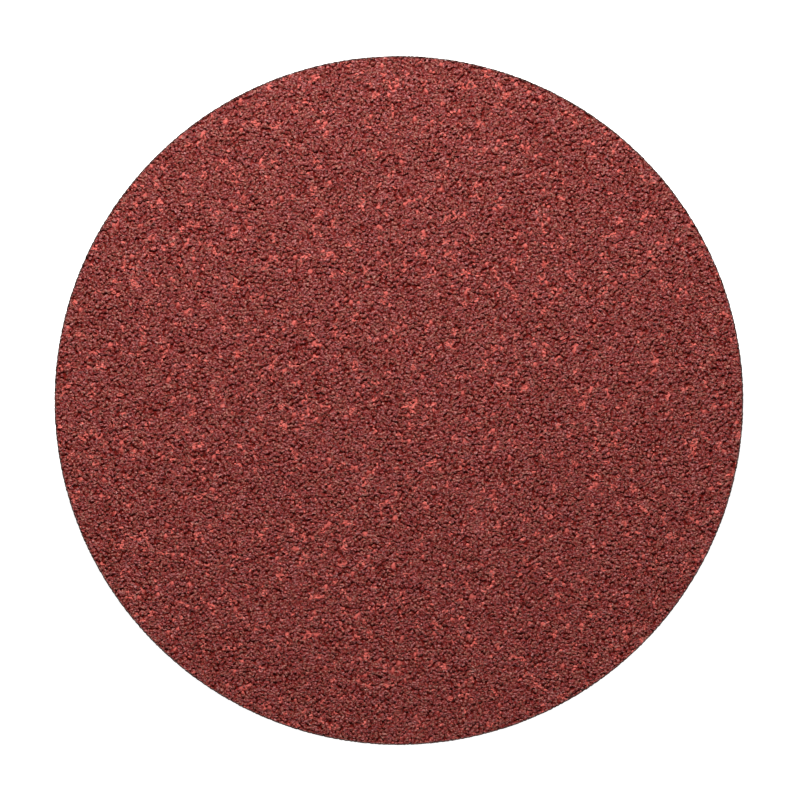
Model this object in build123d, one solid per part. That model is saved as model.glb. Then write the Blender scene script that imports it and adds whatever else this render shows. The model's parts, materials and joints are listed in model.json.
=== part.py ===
from build123d import *
import os

# Hook and loop sanding disc without holes, in coarse grit, lying loop side down.
# Millimetres. The origin is the centre of the loop face, and +Z points out of
# the abrasive face. The disc is a laminate of three round layers, cut out
# together in one stroke, so all of them share one diameter and one edge.

disc_diameter = 125.0

# The grain itself is about 0.43 mm across. The size coat of resin lies over it,
# and grains stand on end, so the coat is nearly two grains high to its tips.
mean_grain = 0.43
grit_height = 1.9 * mean_grain

paper_thickness = 0.35    # heavy paper, as coarse grits need
loop_thickness = 0.90     # knitted ground and its pile of loops, lying flat

# The cutting stroke breaks down the outermost grains by about half a grain.
rim_break_width = 0.7 * mean_grain
rim_break_height = 0.5 * mean_grain

disc_radius = disc_diameter / 2
paper_base = loop_thickness
grit_base = paper_base + paper_thickness
disc_thickness = grit_base + grit_height


def round_layer(base, thickness):
    # A flat round layer that stands on the height of its base.
    layer = Cylinder(disc_radius, thickness, align=(Align.CENTER, Align.CENTER, Align.MIN))
    return Pos(0, 0, base) * layer


def make_loop_backing():
    # The cloth that presses onto the hooks of a sander's pad.
    return round_layer(0, loop_thickness)


def make_backing_paper():
    # The carrier: grain is bonded to its upper face, loop cloth to its lower one.
    return round_layer(paper_base, paper_thickness)


def make_grit_coat():
    # Grain and resin as one crust, up to the tips of the tallest grains, with
    # the edge that the cutting stroke leaves.
    coat = round_layer(grit_base, grit_height)
    top_rim = coat.edges().group_by(Axis.Z)[-1]
    face_beside = coat.faces().sort_by(Axis.Z)[-1]
    return chamfer(top_rim, rim_break_width, rim_break_height, reference=face_beside)


pieces = {
    "loop_backing": make_loop_backing(),
    "backing_paper": make_backing_paper(),
    "grit_coat": make_grit_coat(),
}

os.makedirs("parts", exist_ok=True)
for node, piece in pieces.items():
    export_step(piece, f"parts/{node}.step")
    print(f"{node}: {piece.volume:.0f} mm3")
print(f"disc: {disc_diameter} mm across, {disc_thickness:.2f} mm thick")
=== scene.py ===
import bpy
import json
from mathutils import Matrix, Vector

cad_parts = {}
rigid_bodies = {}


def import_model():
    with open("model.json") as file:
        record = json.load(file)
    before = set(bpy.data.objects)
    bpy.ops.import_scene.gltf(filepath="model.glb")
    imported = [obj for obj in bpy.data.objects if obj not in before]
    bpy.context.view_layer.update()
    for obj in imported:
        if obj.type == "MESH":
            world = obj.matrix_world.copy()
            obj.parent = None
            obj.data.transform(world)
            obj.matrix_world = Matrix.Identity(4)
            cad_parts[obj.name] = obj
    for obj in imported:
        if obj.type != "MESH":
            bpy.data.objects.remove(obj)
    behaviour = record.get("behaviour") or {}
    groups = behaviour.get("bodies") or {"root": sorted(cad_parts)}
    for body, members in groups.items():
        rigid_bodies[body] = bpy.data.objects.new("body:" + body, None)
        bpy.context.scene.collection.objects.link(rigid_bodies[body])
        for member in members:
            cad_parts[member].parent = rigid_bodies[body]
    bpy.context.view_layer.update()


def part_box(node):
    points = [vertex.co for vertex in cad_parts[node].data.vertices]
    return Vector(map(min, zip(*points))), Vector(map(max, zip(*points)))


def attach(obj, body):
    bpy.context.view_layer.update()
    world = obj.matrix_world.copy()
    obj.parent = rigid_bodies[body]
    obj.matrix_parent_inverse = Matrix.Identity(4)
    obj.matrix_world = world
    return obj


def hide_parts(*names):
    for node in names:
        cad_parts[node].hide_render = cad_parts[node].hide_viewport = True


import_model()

import json
import math

import bmesh
import bpy
import numpy as np
from mathutils import Vector

# Hook and loop sanding disc in coarse grit, lying on its loop side on a pale floor.
# Lengths are in metres unless a name says mm.

mm = 0.001
scene = bpy.context.scene
clothLow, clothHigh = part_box("loop_backing")
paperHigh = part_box("backing_paper")[1]
gritLow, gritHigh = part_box("grit_coat")
discRadius = gritHigh[0]


class Wire:
    # A socket in a node tree. Arithmetic on it adds Math nodes, in shaders and in geometry alike.
    def __init__(self, tree, socket=None):
        self.tree = tree
        self.socket = socket

    def node(self, kind, settings=None, inputs=None, out=0):
        made = self.tree.nodes.new(kind)
        for key, value in (settings or {}).items():
            if key == "stops":
                fillRamp(made.color_ramp, value)
            else:
                setattr(made, key, value)
        for key, value in (inputs or {}).items():
            if isinstance(value, Wire):
                self.tree.links.new(value.socket, made.inputs[key])
            else:
                made.inputs[key].default_value = value
        return Wire(self.tree, made.outputs[out]) if len(made.outputs) else None

    def other(self, out):
        return Wire(self.tree, self.socket.node.outputs[out])

    def math(self, operation, *values):
        return self.node("ShaderNodeMath", {"operation": operation}, dict(enumerate((self, *values))))

    def __add__(self, value):
        return self.math("ADD", value)

    def __sub__(self, value):
        return self.math("SUBTRACT", value)

    def __mul__(self, value):
        return self.math("MULTIPLY", value)

    def __truediv__(self, value):
        return self.math("DIVIDE", value)

    def __pow__(self, value):
        return self.math("POWER", value)

    def __rsub__(self, value):
        return self.node("ShaderNodeMath", {"operation": "SUBTRACT"}, {0: value, 1: self})

    __radd__ = __add__
    __rmul__ = __mul__

    def atMost(self, value):
        return self.math("MINIMUM", value)

    def atLeast(self, value):
        return self.math("MAXIMUM", value)

    def mixed(self, first, second):
        # A colour that goes from first to second as this value goes from 0 to 1.
        return self.node("ShaderNodeMix", {"data_type": "RGBA"}, {0: self, 6: first, 7: second}, out=2)

    def step(self, low, high):
        # Smoothly from 0 at low to 1 at high.
        settings = {"interpolation_type": "SMOOTHSTEP"}
        return self.node("ShaderNodeMapRange", settings, {"Value": self, "From Min": low, "From Max": high})


def fillRamp(ramp, stops):
    while len(ramp.elements) < len(stops):
        ramp.elements.new(1.0)
    for element, (place, colour) in zip(ramp.elements, stops):
        element.position = place
        element.color = (*colour, 1.0)


# Geometry trees: each is built once, run on a holder object, and its result kept as a plain mesh.

def newTree(name, inputs):
    tree = bpy.data.node_groups.new(name, "GeometryNodeTree")
    tree.interface.new_socket(name="Geometry", in_out="OUTPUT", socket_type="NodeSocketGeometry")
    for label, kind in inputs.items():
        tree.interface.new_socket(name=label, in_out="INPUT", socket_type="NodeSocket" + kind)
    given = Wire(tree).node("NodeGroupInput")
    return Wire(tree), {label: given.other(label) for label in inputs}


def closeTree(geometry, material=None):
    geometry = geometry.node("GeometryNodeRealizeInstances", inputs={"Geometry": geometry})
    if material is not None:
        geometry = geometry.node("GeometryNodeSetMaterial", inputs={
            "Geometry": geometry, "Material": material})
    end = geometry.tree.nodes.new("NodeGroupOutput")
    geometry.tree.links.new(geometry.socket, end.inputs["Geometry"])


def growMesh(start, values, base=None):
    tree = start.tree
    holder = bpy.data.objects.new(tree.name, base or bpy.data.meshes.new(tree.name))
    scene.collection.objects.link(holder)
    modifier = holder.modifiers.new(tree.name, "NODES")
    modifier.node_group = tree
    for item in tree.interface.items_tree:
        if item.in_out == "INPUT" and item.name in values:
            modifier[item.identifier] = values[item.name]
    depsgraph = bpy.context.evaluated_depsgraph_get()
    mesh = bpy.data.meshes.new_from_object(
        holder.evaluated_get(depsgraph), preserve_all_data_layers=True, depsgraph=depsgraph)
    bpy.data.objects.remove(holder)
    # The tree leaves an empty slot before the one that it sets.
    if len(mesh.materials) > 1:
        kept = mesh.materials[-1]
        mesh.materials.clear()
        mesh.materials.append(kept)
        mesh.polygons.foreach_set("material_index", np.zeros(len(mesh.polygons), dtype=np.int32))
    return mesh


def addPiece(name, mesh):
    mesh.name = name
    piece = bpy.data.objects.new(name, mesh)
    scene.collection.objects.link(piece)
    return piece


def triangles(mesh):
    mesh.calc_loop_triangles()
    return len(mesh.loop_triangles)


def planMap(mesh, side, corner=(0, 0), small=0.14):
    # The map a pattern is baked through: the piece seen from above (side 1) or below (side -1), with its
    # rim folded outward, and the faces that point the other way drawn small in a corner.
    rimBand = 0.15 * mm
    margin = 0.01
    away = -0.02
    places = np.empty(len(mesh.vertices) * 3)
    mesh.vertices.foreach_get("co", places)
    places = places.reshape(-1, 3)
    depth = (places[:, 2] * side).max() - places[:, 2] * side
    atRim = np.hypot(places[:, 0], places[:, 1]) > discRadius - rimBand
    plan = places[:, :2] * (1 + np.where(atRim, depth / discRadius, 0))[:, None]
    low = plan.min(0)
    plan = margin + (1 - 2 * margin) * (plan - low) / (plan.max(0) - low).max()
    corners = np.empty(len(mesh.loops), dtype=np.int32)
    mesh.loops.foreach_get("vertex_index", corners)
    sides = np.array([face.loop_total for face in mesh.polygons])
    turned = np.array([face.normal.z for face in mesh.polygons]) * side < away
    turned = np.repeat(turned, sides)
    uv = plan[corners]
    uv[turned] = np.array(corner) * (1 - small) + uv[turned] * small
    layer = mesh.uv_layers.new(name="OFBake")
    layer.data.foreach_set("uv", uv.ravel())


# Materials

def newMaterial(name):
    material = bpy.data.materials.new(name)
    material.use_nodes = True
    material.node_tree.nodes.clear()
    return material, Wire(material.node_tree)


def surface(start, inputs):
    shader = start.node("ShaderNodeBsdfPrincipled", inputs=inputs)
    start.node("ShaderNodeOutputMaterial", inputs={"Surface": shader})


def noise(start, place, perMm, detail=2.0, roughness=0.5, swirl=0.0):
    # Lumps that come perMm to a millimetre, with values round a half.
    return start.node("ShaderNodeTexNoise", inputs={
        "Vector": place, "Scale": perMm / mm, "Detail": detail, "Roughness": roughness,
        "Distortion": swirl})


def creased(start, place, perMm, swirl=0.0):
    # 0 along winding creases, rising to both sides.
    return (noise(start, place, perMm, 1.0, 0.5, swirl) - 0.5).math("ABSOLUTE")


def flatPlace(start):
    # Object coordinates with height pressed to a fifth, so that a pattern hardly changes down a grain.
    place = start.node("ShaderNodeTexCoord", out="Object")
    return place.node("ShaderNodeMapping", inputs={"Vector": place, "Scale": (1.0, 1.0, 0.2)})


grainLook = {
    # The dark end of the colour ramp, reached by random dark specks and by the painted shade in the
    # creases.
    "darkest": (0.200, 0.0008, 0.0004),
    "lowStone": (0.285, 0.012, 0.008),
    "highStone": (0.328, 0.0530, 0.0435),
    "tip": (0.447, 0.154, 0.134),
    # Red of the resin, also used as painted red shade low between grains and on steep sides.
    "resinAndShadeRed": (0.380, 0.038, 0.029),
    "smear": (0.760, 0.136, 0.106),
    # Dark colour of the thin ring at the rim.
    "cut": (0.080, 0.036, 0.030),
    "darkRimBand": (0.34 * mm, 0.16 * mm),
    "roughness": 0.52,
    "gloss": 0.55,
    "wrinklesPerMm": 1.00,
    "wrinkleSwirl": 1.2,
    "wrinkleDepth": 1.2,
    "fineCreasesPerMm": 2.1,
    "fineDepth": 0.5,
    "gritPerMm": 2.3,
    "gritDepth": 0.2,
    "specksPerMm": 3.0,
    "bump": 0.36 * mm,
    "lightness": 0.73,
    "speckContrast": 2.4,
    "redPatchesPerMm": 0.70,
    "brownPatchesPerMm": 0.9,
    "coolTint": (1.0, 0.94, 1.04),
    "warmTint": (0.98, 1.06, 0.90),
    "seamsPerMm": 0.95,
    "seamWidth": (0.120, 0.180),
    "smearsPerMm": 0.55,
    "smearRarity": (0.630, 0.646),
}


def darkRim(start, place):
    # 1 in a thin ring at the rim, where the colour is darkened.
    near, far = grainLook["darkRimBand"]
    flat = place.node("ShaderNodeVectorMath", {"operation": "MULTIPLY"}, {0: place, 1: (1.0, 1.0, 0.0)})
    reach = flat.node("ShaderNodeVectorMath", {"operation": "LENGTH"}, {0: flat}, out="Value")
    return reach.step(discRadius - near, discRadius - far)


def grainMaterial():
    look = grainLook
    material, start = newMaterial("resinCoatedGrain")
    place = start.node("ShaderNodeTexCoord", out="Object")
    flat = flatPlace(start)
    wrinkle = creased(start, flat, look["wrinklesPerMm"], look["wrinkleSwirl"])
    fine = creased(start, flat, look["fineCreasesPerMm"])
    grit = noise(start, flat, look["gritPerMm"], 0.0, 0.5)
    speck = noise(start, flat, look["specksPerMm"], 0.0, 0.5) - 0.5
    # Painted shade: the colour darkens along the creases of the relief, where shade falls between the
    # lumps.
    creaseShade = 1 - wrinkle.step(0.015, 0.050)
    fineCreaseShade = 1 - fine.step(0.015, 0.060)
    shade = (grit - 0.5) * 0.3 + speck * look["speckContrast"] + look["lightness"]
    shade = shade - creaseShade * 0.6 - fineCreaseShade * 0.3
    stone = start.node("ShaderNodeValToRGB", {"stops": [
        (0.0, look["darkest"]), (0.30, look["lowStone"]), (0.65, look["highStone"]), (1.0, look["tip"])]}, {
        "Fac": shade})

    # Redder low between grains and on steep sides: partly the red resin there, partly painted red shade
    # where shade falls. Redder also in random resin patches.
    height = start.node("ShaderNodeSeparateXYZ", inputs={"Vector": place}, out="Z")
    low = 1 - height.step(gritLow[2] + 0.35 * mm, gritLow[2] + 0.70 * mm)
    redPatch = noise(start, flat, look["redPatchesPerMm"], 1.0, 0.5).step(0.42, 0.70)
    facing = start.node("ShaderNodeTexCoord", out="Normal")
    upright = start.node("ShaderNodeSeparateXYZ", inputs={"Vector": facing}, out="Z")
    steepRedShade = 1 - upright.step(0.35, 0.90)
    resinAndShadeShare = low * 0.2 + redPatch * 0.12 + steepRedShade * 0.1
    colour = resinAndShadeShare.mixed(stone, (*look["resinAndShadeRed"], 1))
    brown = noise(start, flat, look["brownPatchesPerMm"], 1.0, 0.5).step(0.35, 0.65)
    tint = brown.mixed((*look["coolTint"], 1), (*look["warmTint"], 1))
    colour = start.node("ShaderNodeMix", {"data_type": "RGBA", "blend_type": "MULTIPLY"}, {
        0: 1.0, 6: colour, 7: tint}, out=2)

    # A few pale smears of size coat, along the seams of a cell pattern, so that some of them branch.
    seam = start.node("ShaderNodeTexVoronoi", {"feature": "DISTANCE_TO_EDGE"}, {
        "Vector": flat, "Scale": look["seamsPerMm"] / mm}, out="Distance")
    sparse = noise(start, flat, look["smearsPerMm"], 1.0, 0.5).step(*look["smearRarity"])
    smear = (1 - seam.step(*look["seamWidth"])) * sparse
    colour = smear.mixed(colour, (*look["smear"], 1))
    colour = darkRim(start, place).mixed(colour, (*look["cut"], 1))

    # The power narrows the creases, and the small sum keeps their slope finite.
    relief = ((wrinkle + 0.001) ** 0.6 * look["wrinkleDepth"] + (fine + 0.001) ** 0.6 * look["fineDepth"]
              + grit * look["gritDepth"])
    bump = start.node("ShaderNodeBump", inputs={
        "Height": relief, "Strength": 1.0, "Distance": look["bump"]})
    surface(start, {
        "Base Color": colour, "Roughness": look["roughness"] + (grit - 0.5) * 0.3,
        "Specular IOR Level": look["gloss"], "Normal": bump})
    return material


resinLook = {
    "deep": (0.170, 0.010, 0.007),
    "pool": (0.900, 0.185, 0.155),
    "roughness": 0.28,
    "gloss": 0.3,
    "stainsPerMm": 1.2,
    "ripplesPerMm": 2.5,
    "rippleDepth": 0.05 * mm,
}


def resinMaterial():
    look = resinLook
    material, start = newMaterial("curedResin")
    place = start.node("ShaderNodeTexCoord", out="Object")
    pool = start.node("ShaderNodeAttribute", {"attribute_name": "pool"}, out="Fac")
    stain = noise(start, place, look["stainsPerMm"], 2.0, 0.5)
    depth = (pool * (0.6 + stain * 0.8)).atMost(1.0)
    colour = depth.mixed((*look["deep"], 1), (*look["pool"], 1))
    colour = darkRim(start, place).mixed(colour, (*grainLook["cut"], 1))
    ripple = noise(start, place, look["ripplesPerMm"], 2.0, 0.5)
    bump = start.node("ShaderNodeBump", inputs={
        "Height": ripple, "Strength": 0.4, "Distance": look["rippleDepth"]})
    surface(start, {
        "Base Color": colour, "Roughness": look["roughness"], "Specular IOR Level": look["gloss"],
        "Normal": bump})
    return material


# Grain: broken crystals of a few shapes, seated in resin at random and cut off at the rim.

grain = {
    "spacing": 0.55 * mm,
    "tries": 35.0 / mm ** 2,
    "starvedShare": 0.016,
    "clustersPerMm": 0.22,
    "starvedLift": 0.6,
    "starvedSize": 0.45,
    "shapes": 12,
    "corners": 12,
    "unevenness": 0.16,
    "cuts": 9,
    "deepestCut": 0.62,
    "shallowestCut": 0.95,
    "longestCorner": 1.15,
    "smallest": 0.50 * mm,
    "largest": 0.62 * mm,
    "lowest": 0.72 * mm,
    "highest": 0.88 * mm,
    "flatten": 0.50,
    "softTop": 0.08 * mm,
    "softening": 0.7,
    "fromRim": 0.05 * mm,
    "seed": 11,
}


def crystal(name, rng):
    # Points spread over a ball, pushed in to a few flat cuts, and the hull round them.
    corners, cuts = grain["corners"], grain["cuts"]
    turn = np.arange(corners) + 0.5
    z = 1 - 2 * turn / corners
    angle = turn * math.pi * (3 - math.sqrt(5))
    side = np.sqrt(1 - z * z)
    points = np.stack([side * np.cos(angle), side * np.sin(angle), z], 1)
    points += rng.normal(0, grain["unevenness"], points.shape)
    points /= np.linalg.norm(points, axis=1, keepdims=True)
    normals = rng.normal(0, 1, (cuts, 3))
    normals /= np.linalg.norm(normals, axis=1, keepdims=True)
    depth = rng.uniform(grain["deepestCut"], grain["shallowestCut"], cuts)
    facing = np.maximum(points @ normals.T, 0.05)
    points *= np.minimum(grain["longestCorner"], (depth / facing).min(1))[:, None]
    mesh = bpy.data.meshes.new(name)
    body = bmesh.new()
    for point in points:
        body.verts.new(point)
    hull = bmesh.ops.convex_hull(body, input=body.verts)
    inner = [item for item in hull["geom_interior"] if isinstance(item, bmesh.types.BMVert)]
    bmesh.ops.delete(body, geom=inner, context="VERTS")
    bmesh.ops.recalc_face_normals(body, faces=body.faces)
    for face in body.faces:
        face.smooth = False
    body.to_mesh(mesh)
    body.free()
    return mesh


def crystalCollection():
    rng = np.random.default_rng(grain["seed"])
    shelf = bpy.data.collections.new("crystals")
    for number in range(grain["shapes"]):
        mesh = crystal(f"crystal{number}", rng)
        shelf.objects.link(bpy.data.objects.new(mesh.name, mesh))
    return shelf


def seatPoints():
    # Where grains sit: evenly random, no two nearer than the spacing. A few seats, mostly in clusters,
    # are starved: their grains are small and low, and resin pools round them.
    start, given = newTree("grainSeats", {
        "Disc Radius": "Float", "Spacing": "Float", "Tries": "Float", "Starved Share": "Float",
        "Seed": "Int"})
    disc = start.node("GeometryNodeMeshCircle", {"fill_type": "NGON"}, {
        "Vertices": 256, "Radius": given["Disc Radius"]})
    points = start.node("GeometryNodeDistributePointsOnFaces", {"distribute_method": "POISSON"}, {
        "Mesh": disc, "Distance Min": given["Spacing"], "Density Max": given["Tries"],
        "Seed": given["Seed"]}, out="Points")
    place = start.node("GeometryNodeInputPosition")
    clusters = noise(start, place, grain["clustersPerMm"], 2.0, 0.6).step(0.35, 0.75)
    chance = given["Starved Share"] * (0.3 + clusters * 2.2)
    draw = start.node("FunctionNodeRandomValue", {"data_type": "FLOAT"}, {
        "Min": 0.0, "Max": 1.0, "Seed": given["Seed"] + 1}, out=1)
    starved = draw.math("LESS_THAN", chance)
    points = start.node("GeometryNodeStoreNamedAttribute", {"data_type": "FLOAT", "domain": "POINT"}, {
        "Geometry": points, "Name": "starved", "Value": starved})
    closeTree(start.node("GeometryNodePointsToVertices", inputs={"Points": points}))
    return growMesh(start, {
        "Disc Radius": discRadius - grain["fromRim"], "Spacing": grain["spacing"], "Tries": grain["tries"],
        "Starved Share": grain["starvedShare"], "Seed": grain["seed"]})


def grainTree(shelf, material):
    start, given = newTree("grainOnSeats", {
        "Seats": "Object", "Smallest": "Float", "Largest": "Float", "Lowest": "Float", "Highest": "Float",
        "Flatten": "Float", "Disc Radius": "Float", "Floor": "Float", "Soft Top": "Float",
        "Quarter": "Float", "Seed": "Int"})
    seats = start.node("GeometryNodeObjectInfo", inputs={"Object": given["Seats"]}, out="Geometry")
    points = start.node("GeometryNodeMeshToPoints", inputs={"Mesh": seats})
    place = start.node("GeometryNodeInputPosition")
    spot = start.node("ShaderNodeSeparateXYZ", inputs={"Vector": place})
    starved = start.node("GeometryNodeInputNamedAttribute", {"data_type": "FLOAT"}, {"Name": "starved"})
    angle = spot.other("Y").math("ARCTAN2", spot)
    quarter = ((angle / (math.pi / 2) + 2).math("FLOOR")).math("MODULO", 4.0)
    outside = (quarter - given["Quarter"]).math("ABSOLUTE").math("GREATER_THAN", 0.5)
    points = start.node("GeometryNodeDeleteGeometry", {"domain": "POINT"}, {
        "Geometry": points, "Selection": outside})

    # A seat draws its numbers by its place, to a hundredth of a millimetre. The prime keeps rows apart.
    perMetre = 1e5
    prime = 7919
    column = (spot * perMetre).math("FLOOR")
    row = (spot.other("Y") * perMetre).math("FLOOR")
    ident = column * prime + row

    def draw(low, high, step):
        return start.node("FunctionNodeRandomValue", {"data_type": "FLOAT"}, {
            2: low, 3: high, "ID": ident, "Seed": given["Seed"] + step}, out=1)

    lift = draw(given["Lowest"], given["Highest"], 1) * (1 - starved * grain["starvedLift"])
    offset = start.node("ShaderNodeCombineXYZ", inputs={"Z": lift})
    points = start.node("GeometryNodeSetPosition", inputs={"Geometry": points, "Offset": offset})
    size = draw(0.0, 1.0, 2)
    radius = given["Smallest"] + (given["Largest"] - given["Smallest"]) * size ** 1.4
    radius = radius * (1 - starved * grain["starvedSize"])
    scale = start.node("ShaderNodeCombineXYZ", inputs={
        "X": radius * draw(0.9, 1.25, 3),
        "Y": radius * draw(0.8, 1.1, 4),
        "Z": radius * draw(0.7, 0.95, 5)})
    turn = start.node("ShaderNodeCombineXYZ", inputs={
        "X": draw(0.0, 2 * math.pi, 6), "Y": draw(0.0, 2 * math.pi, 7), "Z": draw(0.0, 2 * math.pi, 8)})
    turn = start.node("FunctionNodeEulerToRotation", inputs={"Euler": turn})
    shapes = start.node("GeometryNodeCollectionInfo", inputs={
        "Collection": shelf, "Separate Children": True, "Reset Children": True})
    pick = start.node("FunctionNodeRandomValue", {"data_type": "INT"}, {
        4: 0, 5: grain["shapes"] - 1, "ID": ident, "Seed": given["Seed"] + 9}, out=2)
    crystals = start.node("GeometryNodeInstanceOnPoints", inputs={
        "Points": points, "Instance": shapes, "Pick Instance": True, "Instance Index": pick,
        "Rotation": turn, "Scale": scale})
    crystals = start.node("GeometryNodeRealizeInstances", inputs={"Geometry": crystals})

    # Seated on the paper, pressed a little flat, and cut off where the disc was cut out.
    where = start.node("ShaderNodeSeparateXYZ", inputs={"Vector": place})
    x, y, z = where, where.other("Y"), where.other("Z")
    reach = (x * x + y * y).math("SQRT")
    shrink = (given["Disc Radius"] / reach.atLeast(1e-6)).atMost(1.0)
    height = (z * given["Flatten"]).atLeast(0.0) + given["Floor"]
    over = (height - given["Soft Top"]).atLeast(0.0)
    height = height - over * grain["softening"]
    cut = start.node("ShaderNodeCombineXYZ", inputs={"X": x * shrink, "Y": y * shrink, "Z": height})
    crystals = start.node("GeometryNodeSetPosition", inputs={"Geometry": crystals, "Position": cut})
    closeTree(crystals, material)
    return start


def growGrain(seats, material):
    shelf = crystalCollection()
    tree = grainTree(shelf, material)
    pieces = []
    for quarter, corner in enumerate(((0, 0), (1, 0), (1, 1), (0, 1))):
        mesh = growMesh(tree, {
            "Seats": seats, "Smallest": grain["smallest"], "Largest": grain["largest"],
            "Lowest": grain["lowest"], "Highest": grain["highest"], "Flatten": grain["flatten"],
            "Disc Radius": discRadius, "Floor": paperHigh[2], "Soft Top": gritHigh[2] - grain["softTop"],
            "Quarter": float(quarter), "Seed": grain["seed"]})
        planMap(mesh, 1, corner, small=0.27)
        pieces.append(addPiece(f"grain_{quarter + 1}", mesh))
        top = max(vertex.co.z for vertex in mesh.vertices)
        print("grain", quarter + 1, triangles(mesh), "triangles, top", round(top / mm, 3), "mm")
    for shape in list(shelf.objects):
        bpy.data.objects.remove(shape)
    bpy.data.collections.remove(shelf)
    return pieces


# Resin: a bed between the grains, higher and lighter in pools round starved seats.

resin = {
    "across": 280,
    "bedHeight": 0.22 * mm,
    "poolHeight": 0.22 * mm,
    "poolReach": 0.62 * mm,
    "poolCore": 0.2 * mm,
    "climbReach": 0.7 * mm,
    "floodsPerMm": 0.75,
    "floodRarity": (0.66, 0.74),
    "wave": 0.04 * mm,
    "wavesPerMm": 0.7,
}


def roundGrid(across, low, high):
    # A disc of even squares: a square grid bent to a circle, with a wall and a flat underside.
    line = np.linspace(-1, 1, across + 1)
    u, v = np.meshgrid(line, line, indexing="ij")
    x = u * np.sqrt(1 - v * v / 2)
    y = v * np.sqrt(1 - u * u / 2)
    top = np.stack([x, y], -1).reshape(-1, 2) * discRadius
    n = across + 1
    index = np.arange(n * n).reshape(n, n)
    faces = np.stack([index[:-1, :-1], index[1:, :-1], index[1:, 1:], index[:-1, 1:]], -1).reshape(-1, 4)
    rim = np.concatenate([index[:-1, 0], index[-1, :-1], index[:0:-1, -1], index[0, :0:-1]])
    verts = [(px, py, high) for px, py in top]
    foot = len(verts)
    verts += [(top[i][0], top[i][1], low) for i in rim]
    count = len(rim)
    walls = [(foot + k, foot + (k + 1) % count, rim[(k + 1) % count], rim[k]) for k in range(count)]
    under = [tuple(foot + k for k in range(count))[::-1]]
    mesh = bpy.data.meshes.new("roundGrid")
    mesh.from_pydata(verts, [], [tuple(f) for f in faces] + walls + under)
    mesh.shade_smooth()
    return mesh


def growResin(seats, material):
    start, given = newTree("resinBed", {
        "Base": "Geometry", "Seats": "Object", "Pool Height": "Float", "Pool Reach": "Float",
        "Wave": "Float", "Floor": "Float"})
    seat = start.node("GeometryNodeObjectInfo", inputs={"Object": given["Seats"]}, out="Geometry")
    starved = start.node("GeometryNodeInputNamedAttribute", {"data_type": "FLOAT"}, {"Name": "starved"})
    full = start.node("GeometryNodeDeleteGeometry", {"domain": "POINT"}, {
        "Geometry": seat, "Selection": starved.math("GREATER_THAN", 0.5)})
    empty = start.node("GeometryNodeDeleteGeometry", {"domain": "POINT"}, {
        "Geometry": seat, "Selection": starved.math("LESS_THAN", 0.5)})
    place = start.node("GeometryNodeInputPosition")
    spot = start.node("ShaderNodeSeparateXYZ", inputs={"Vector": place})
    flat = start.node("ShaderNodeCombineXYZ", inputs={"X": spot, "Y": spot.other("Y")})
    toPool = start.node("GeometryNodeProximity", {"target_element": "POINTS"}, {
        "Geometry": empty, "Sample Position": flat}, out="Distance")
    toGrain = start.node("GeometryNodeProximity", {"target_element": "POINTS"}, {
        "Geometry": full, "Sample Position": flat}, out="Distance")
    flood = noise(start, flat, resin["floodsPerMm"], 1.0, 0.5).step(*resin["floodRarity"])
    pool = (1 - toPool.step(resin["poolCore"], given["Pool Reach"])).atLeast(flood)
    climb = 1 - toGrain.step(resin["poolCore"], resin["climbReach"])
    onTop = spot.other("Z").math("GREATER_THAN", given["Floor"] + 0.05 * mm)
    wave = (noise(start, place, resin["wavesPerMm"]) - 0.5) * given["Wave"] * 2
    rise = (pool * given["Pool Height"] * (0.6 + climb * 0.8) + wave) * onTop
    offset = start.node("ShaderNodeCombineXYZ", inputs={"Z": rise})
    mesh = start.node("GeometryNodeStoreNamedAttribute", {"data_type": "FLOAT", "domain": "POINT"}, {
        "Geometry": given["Base"], "Name": "pool", "Value": pool})
    mesh = start.node("GeometryNodeSetPosition", inputs={"Geometry": mesh, "Offset": offset})
    closeTree(mesh, material)
    base = roundGrid(resin["across"], paperHigh[2], paperHigh[2] + resin["bedHeight"])
    mesh = growMesh(start, {
        "Seats": seats, "Pool Height": resin["poolHeight"], "Pool Reach": resin["poolReach"],
        "Wave": resin["wave"], "Floor": paperHigh[2]}, base)
    planMap(mesh, 1)
    print("resin", triangles(mesh), "triangles")
    return addPiece("resin_bed", mesh)


# Paper: the CAD disc itself, whose edge shows as a thin line between grit and cloth.

paperLook = {
    "fibre": (0.470, 0.300, 0.200),
    "stain": (0.300, 0.150, 0.090),
    "roughness": 0.75,
    "fibresPerMm": 1.6,
    "stainsPerMm": 0.35,
    "fibreDepth": 0.05 * mm,
}


def paperMaterial():
    look = paperLook
    material, start = newMaterial("resinSoakedPaper")
    place = start.node("ShaderNodeTexCoord", out="Object")
    layers = place.node("ShaderNodeMapping", inputs={"Vector": place, "Scale": (1.0, 1.0, 6.0)})
    fibre = noise(start, layers, look["fibresPerMm"], 3.0, 0.65)
    soak = noise(start, place, look["stainsPerMm"], 2.0, 0.5).step(0.40, 0.70)
    colour = (soak * 0.6 + fibre * 0.4).mixed((*look["fibre"], 1), (*look["stain"], 1))
    bump = start.node("ShaderNodeBump", inputs={
        "Height": fibre, "Strength": 0.5, "Distance": look["fibreDepth"]})
    surface(start, {"Base Color": colour, "Roughness": look["roughness"], "Normal": bump})
    return material


# Loop cloth: a knitted ground glued to the paper, with a brushed pile of loops that faces down.

cloth = {
    "pileDepth": 0.55 * mm,
    "walesPerMm": 1.1,
    "coursesPerMm": 1.76,
    "thread": (0.800, 0.780, 0.740),
    "gap": (0.420, 0.390, 0.350),
    "knitDepth": 0.2 * mm,
    "edgeWave": 0.06 * mm,
    "edgeWaves": (7, 13, 23, 41, 67),
    "rings": (0.35, 0.70, 0.90, 1.0),
    "segments": 256,
}

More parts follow.
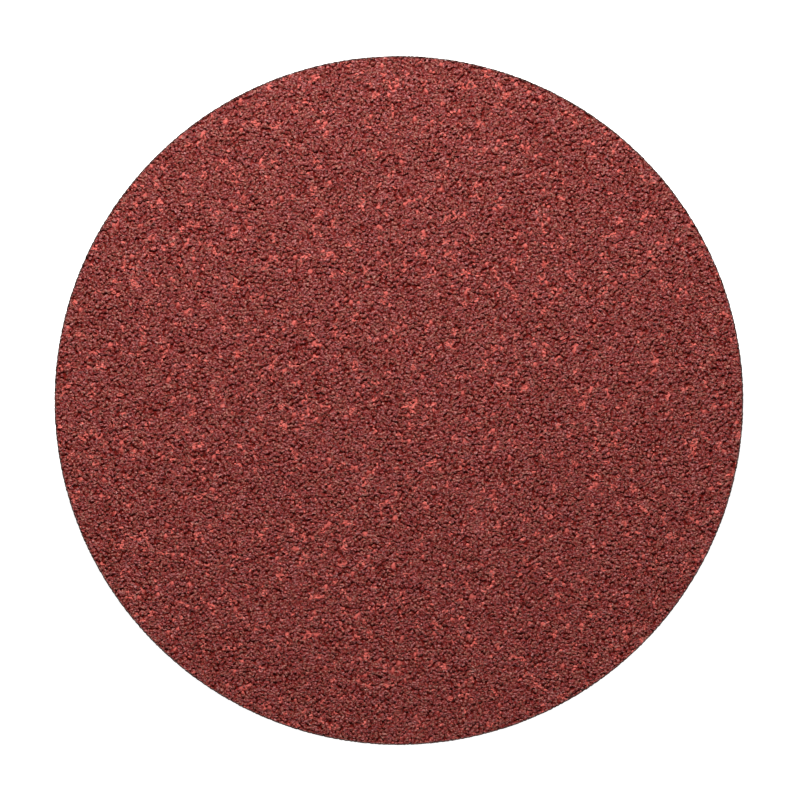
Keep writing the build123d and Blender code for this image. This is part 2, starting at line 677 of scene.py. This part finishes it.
pile = {
    "spacing": 0.85 * mm,
    "tries": 4.0 / mm ** 2,
    "rimSpacing": 0.42 * mm,
    "rimTries": 9.0 / mm ** 2,
    "rimWidth": 2.4 * mm,
    "fromRim": 0.10 * mm,
    "shapes": 8,
    "joints": 4,
    "rimJoints": 6,
    "sides": 3,
    "width": 0.95 * mm,
    "thread": 0.050 * mm,
    "colour": (0.930, 0.915, 0.880),
    "shade": (0.800, 0.775, 0.730),
    "seed": 5,
}


def clothMaterial():
    look = cloth
    material, start = newMaterial("knitGround")
    place = start.node("ShaderNodeTexCoord", out="Object")
    spot = start.node("ShaderNodeSeparateXYZ", inputs={"Vector": place})
    sway = noise(start, place, 0.3, 2.0, 0.5) * 0.5
    across = spot * (look["walesPerMm"] / mm) + sway
    wale = (across * (2 * math.pi)).math("SINE") * 0.5 + 0.5
    along = spot.other("Y") * (look["coursesPerMm"] / mm) + wale * 0.5
    course = (along * (2 * math.pi)).math("SINE") * 0.5 + 0.5
    fuzz = noise(start, place, 3.0, 3.0, 0.6)
    knit = wale * 0.45 + course * 0.35 + fuzz * 0.3
    colour = knit.step(0.15, 0.70).mixed((*look["gap"], 1), (*look["thread"], 1))
    bump = start.node("ShaderNodeBump", inputs={
        "Height": knit, "Strength": 0.8, "Distance": look["knitDepth"]})
    surface(start, {"Base Color": colour, "Roughness": 0.95, "Specular IOR Level": 0.2, "Normal": bump})
    return material


def pileMaterial():
    look = pile
    material, start = newMaterial("loopFibre")
    place = flatPlace(start)
    twist = noise(start, place, 2.4, 2.0, 0.6)
    wear = noise(start, place, 0.12, 2.0, 0.6)
    colour = (twist * 0.7 + wear * 0.4).step(0.30, 0.85).mixed((*look["shade"], 1), (*look["colour"], 1))
    surface(start, {"Base Color": colour, "Roughness": 0.8, "Specular IOR Level": 0.25})
    return material


def ringDisc(name, low, high, wave):
    # A closed disc of rings, its rim a little uneven as cut cloth is.
    rng = np.random.default_rng(pile["seed"])
    count = cloth["segments"]
    turn = np.arange(count) * 2 * math.pi / count
    uneven = sum(
        rng.uniform(0.2, 1.0) * np.sin(turn * waves + rng.uniform(0, 6.3)) for waves in cloth["edgeWaves"])
    uneven = (uneven - uneven.max()) / np.ptp(uneven)
    verts, faces, rings = [], [], []
    for height in (low, high):
        for share in cloth["rings"]:
            radius = discRadius * share + (wave * uneven if share == 1.0 else 0 * uneven)
            rings.append(range(len(verts), len(verts) + count))
            verts += [(r * math.cos(t), r * math.sin(t), height) for r, t in zip(radius, turn)]
    layer = len(cloth["rings"])
    order = rings[:layer] + rings[:layer - 1:-1]
    following = [(k + 1) % count for k in range(count)]
    for inner, outer in zip(order[:-1], order[1:]):
        faces += [(inner[n], outer[n], outer[k], inner[k]) for k, n in enumerate(following)]
    faces += [tuple(order[0])[::-1], tuple(order[-1])]
    mesh = bpy.data.meshes.new(name)
    mesh.from_pydata(verts, [], faces)
    body = bmesh.new()
    body.from_mesh(mesh)
    bmesh.ops.recalc_face_normals(body, faces=body.faces)
    body.to_mesh(mesh)
    body.free()
    return mesh


def loopShape(name, rng, joints, sides):
    # One loop of thread: a closed thin tube along an arch that leans and twists a little. Unit height.
    share = np.linspace(0, 1, joints)
    lean = rng.uniform(-0.35, 0.35)
    half = rng.uniform(0.35, 0.60)
    path = np.stack([
        half * np.cos(math.pi * (1 - share)) + lean * np.sin(math.pi * share),
        rng.uniform(-0.5, 0.5) * (share - 0.5) + rng.uniform(-0.5, 0.5) * np.sin(math.pi * share),
        -np.sin(math.pi * share) ** 0.8], 1)
    path[0, 2] = path[-1, 2] = 0.15
    thin = pile["thread"] / cloth["pileDepth"]
    verts, faces = [], []
    for k, centre in enumerate(path):
        along = Vector(path[min(k + 1, joints - 1)] - path[max(k - 1, 0)]).normalized()
        side = along.cross(Vector((0, 1, 0.2))).normalized()
        other = along.cross(side)
        for m in range(sides):
            angle = 2 * math.pi * m / sides
            verts.append(Vector(centre) + (side * math.cos(angle) + other * math.sin(angle)) * thin)
    for k in range(joints - 1):
        for m in range(sides):
            a, b = k * sides + m, k * sides + (m + 1) % sides
            faces.append((a, b, b + sides, a + sides))
    faces += [tuple(range(sides))[::-1], tuple(range((joints - 1) * sides, joints * sides))]
    mesh = bpy.data.meshes.new(name)
    mesh.from_pydata([tuple(v) for v in verts], [], faces)
    body = bmesh.new()
    body.from_mesh(mesh)
    bmesh.ops.recalc_face_normals(body, faces=body.faces)
    body.to_mesh(mesh)
    body.free()
    mesh.shade_smooth()
    return mesh


def pileTree(shelf, material):
    start, given = newTree("loopPile", {
        "Inner": "Float", "Outer": "Float", "Spacing": "Float", "Tries": "Float", "Depth": "Float",
        "Width": "Float", "Foot": "Float", "Disc Radius": "Float", "Seed": "Int"})
    disc = start.node("GeometryNodeMeshCircle", {"fill_type": "NGON"}, {
        "Vertices": 256, "Radius": given["Outer"]})
    points = start.node("GeometryNodeDistributePointsOnFaces", {"distribute_method": "POISSON"}, {
        "Mesh": disc, "Distance Min": given["Spacing"], "Density Max": given["Tries"],
        "Seed": given["Seed"]}, out="Points")
    place = start.node("GeometryNodeInputPosition")
    fromMiddle = place.node("ShaderNodeVectorMath", {"operation": "LENGTH"}, {0: place}, out="Value")
    points = start.node("GeometryNodeDeleteGeometry", {"domain": "POINT"}, {
        "Geometry": points, "Selection": fromMiddle.math("LESS_THAN", given["Inner"])})
    offset = start.node("ShaderNodeCombineXYZ", inputs={"Z": given["Foot"]})
    points = start.node("GeometryNodeSetPosition", inputs={"Geometry": points, "Offset": offset})

    def draw(low, high, step):
        return start.node("FunctionNodeRandomValue", {"data_type": "FLOAT"}, {
            2: low, 3: high, "Seed": given["Seed"] + step}, out=1)

    wide = given["Width"] * draw(0.7, 1.25, 1)
    scale = start.node("ShaderNodeCombineXYZ", inputs={
        "X": wide, "Y": wide, "Z": given["Depth"] * draw(0.75, 1.0, 2)})
    turn = start.node("ShaderNodeCombineXYZ", inputs={
        "X": draw(-0.3, 0.3, 3), "Y": draw(-0.3, 0.3, 4), "Z": draw(0.0, 2 * math.pi, 5)})
    turn = start.node("FunctionNodeEulerToRotation", inputs={"Euler": turn})
    shapes = start.node("GeometryNodeCollectionInfo", inputs={
        "Collection": shelf, "Separate Children": True, "Reset Children": True})
    pick = start.node("FunctionNodeRandomValue", {"data_type": "INT"}, {
        4: 0, 5: pile["shapes"] - 1, "Seed": given["Seed"] + 6}, out=2)
    loops = start.node("GeometryNodeInstanceOnPoints", inputs={
        "Points": points, "Instance": shapes, "Pick Instance": True, "Instance Index": pick,
        "Rotation": turn, "Scale": scale})
    loops = start.node("GeometryNodeRealizeInstances", inputs={"Geometry": loops})

    # The disc's own weight flattens the lowest loops on what it lies on, and no loop passes the rim.
    where = start.node("ShaderNodeSeparateXYZ", inputs={"Vector": place})
    x, y, z = where, where.other("Y"), where.other("Z")
    reach = (x * x + y * y).math("SQRT")
    shrink = (given["Disc Radius"] / reach.atLeast(1e-6)).atMost(1.0)
    held = start.node("ShaderNodeCombineXYZ", inputs={
        "X": x * shrink, "Y": y * shrink, "Z": z.atLeast(0.0)})
    loops = start.node("GeometryNodeSetPosition", inputs={"Geometry": loops, "Position": held})
    closeTree(loops, material)
    return start


def growPile(material):
    # The loops at the rim, which show from the side, have more joints and stand closer.
    pieces = []
    rng = np.random.default_rng(pile["seed"])
    zones = [
        ("loop_pile", pile["joints"], 0.0, discRadius - pile["rimWidth"], pile["spacing"], pile["tries"]),
        ("loop_pile_rim", pile["rimJoints"], discRadius - pile["rimWidth"], discRadius - pile["fromRim"],
         pile["rimSpacing"], pile["rimTries"])]
    for name, joints, inner, outer, spacing, tries in zones:
        shelf = bpy.data.collections.new(name)
        for number in range(pile["shapes"]):
            shape = loopShape(f"loop{number}", rng, joints, pile["sides"])
            shelf.objects.link(bpy.data.objects.new(shape.name, shape))
        mesh = growMesh(pileTree(shelf, material), {
            "Inner": inner, "Outer": outer, "Spacing": spacing, "Tries": tries, "Depth": cloth["pileDepth"],
            "Width": pile["width"], "Foot": clothLow[2] + cloth["pileDepth"], "Disc Radius": discRadius,
            "Seed": pile["seed"]})
        planMap(mesh, -1)
        pieces.append(addPiece(name, mesh))
        print(name, triangles(mesh), "triangles")
        for shape in list(shelf.objects):
            bpy.data.objects.remove(shape)
        bpy.data.collections.remove(shelf)
    return pieces


# Stage

view = {
    "photoRadius": 344.9,
    "photoCentre": (398.9, 400.4),
    "photoSize": 800,
    "lens": 85.0,
}


def makeCamera():
    # Straight above, with the disc as large in the frame and as far from its middle as in the photo.
    camera = bpy.data.objects.new("camera", bpy.data.cameras.new("camera"))
    camera.data.lens = view["lens"]
    pixels = view["photoSize"] * view["lens"] / camera.data.sensor_width
    far = pixels * discRadius / view["photoRadius"]
    half = view["photoSize"] / 2
    x = (half - view["photoCentre"][0]) * far / pixels
    y = (view["photoCentre"][1] - half) * far / pixels
    camera.location = (x, y, gritHigh[2] + far)
    camera.data.clip_start = 0.01
    scene.collection.objects.link(camera)
    scene.camera = camera


# Each lamp shines on the origin from its direction. Power is in watts. The key light comes from the photo's
# upper side, halfway up the sky. The front and side lamps come in low and light the cut edge.
lamps = {
    "keyLight": {"direction": (-0.14, 1.0, 0.92), "distance": 0.46, "size": 0.03, "power": 2.66},
    "topLight": {"direction": (0.2, -0.3, 1.0), "distance": 0.9, "size": 0.8, "power": 0.08},
    "frontLight": {"direction": (0.35, -1.0, 0.18), "distance": 1.1, "size": 0.5, "power": 0.9},
    "sideLight": {"direction": (1.0, 0.15, 0.18), "distance": 1.1, "size": 0.5, "power": 0.7},
}

room = {
    "ambient": 0.03,
    "background": 1.0,
    "floorHalf": 6.0,
    "floorPaint": 0.75,
    "floorGlow": 0.95,
    "farGlow": 0.05,
    "farFrom": 0.10,
    "farTo": 0.35,
}


def areaLight(name, lamp):
    light = bpy.data.lights.new(name, "AREA")
    light.shape = "DISK"
    light.size = lamp["size"]
    light.energy = lamp["power"]
    holder = bpy.data.objects.new(name, light)
    direction = Vector(lamp["direction"])
    holder.location = direction.normalized() * lamp["distance"]
    holder.rotation_mode = "QUATERNION"
    holder.rotation_quaternion = direction.to_track_quat("Z", "Y")
    scene.collection.objects.link(holder)


def makeLights():
    for name, lamp in lamps.items():
        areaLight(name, lamp)
    world = bpy.data.worlds.new("paleRoom")
    scene.world = world
    world.use_nodes = True
    world.node_tree.nodes.clear()
    start = Wire(world.node_tree)
    seen = start.node("ShaderNodeLightPath", out="Is Camera Ray")
    dim = start.node("ShaderNodeBackground", inputs={"Color": (1, 1, 1, 1), "Strength": room["ambient"]})
    white = start.node("ShaderNodeBackground", inputs={
        "Color": (1, 1, 1, 1), "Strength": room["background"]})
    both = start.node("ShaderNodeMixShader", inputs={0: seen, 1: dim, 2: white})
    start.node("ShaderNodeOutputWorld", inputs={"Surface": both})


def makeFloor():
    # White by its own glow, a little more so farther out, where the lamps light its paint less.
    size = room["floorHalf"]
    mesh = bpy.data.meshes.new("floor")
    corners = [(-size, -size, 0), (size, -size, 0), (size, size, 0), (-size, size, 0)]
    mesh.from_pydata(corners, [], [(0, 1, 2, 3)])
    material, start = newMaterial("whiteFloor")
    paint = start.node("ShaderNodeBsdfDiffuse", inputs={"Color": (*[room["floorPaint"]] * 3, 1)})
    place = start.node("ShaderNodeTexCoord", out="Object")
    away = place.node("ShaderNodeVectorMath", {"operation": "LENGTH"}, {0: place}, out="Value")
    far = away.step(room["farFrom"], room["farTo"])
    glow = start.node("ShaderNodeEmission", inputs={
        "Color": (1, 1, 1, 1), "Strength": room["floorGlow"] + far * room["farGlow"]})
    both = start.node("ShaderNodeAddShader", inputs={0: paint, 1: glow})
    start.node("ShaderNodeOutputMaterial", inputs={"Surface": both})
    mesh.materials.append(material)
    floor = bpy.data.objects.new("floor", mesh)
    scene.collection.objects.link(floor)


scene.view_settings.view_transform = "Standard"
makeCamera()
makeLights()
makeFloor()
print("stage set")

seatMesh = seatPoints()
seatHolder = bpy.data.objects.new("grainSeats", seatMesh)
print("seats", len(seatMesh.vertices))
grainPieces = growGrain(seatHolder, grainMaterial())
resinPiece = growResin(seatHolder, resinMaterial())
bpy.data.objects.remove(seatHolder)

for piece in grainPieces + [resinPiece]:
    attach(piece, "root")
    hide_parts("grit_coat")

paperPiece = bpy.data.objects["backing_paper"]
paperPiece.data.materials.clear()
paperPiece.data.materials.append(paperMaterial())
print("paper coloured")

clothPiece = addPiece("loop_cloth", ringDisc(
    "loop_cloth", clothLow[2] + cloth["pileDepth"], clothHigh[2], cloth["edgeWave"]))
clothPiece.data.materials.append(clothMaterial())
planMap(clothPiece.data, -1)
pilePieces = growPile(pileMaterial())
for piece in [clothPiece] + pilePieces:
    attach(piece, "root")
    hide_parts("loop_backing")
print("cloth and pile made")
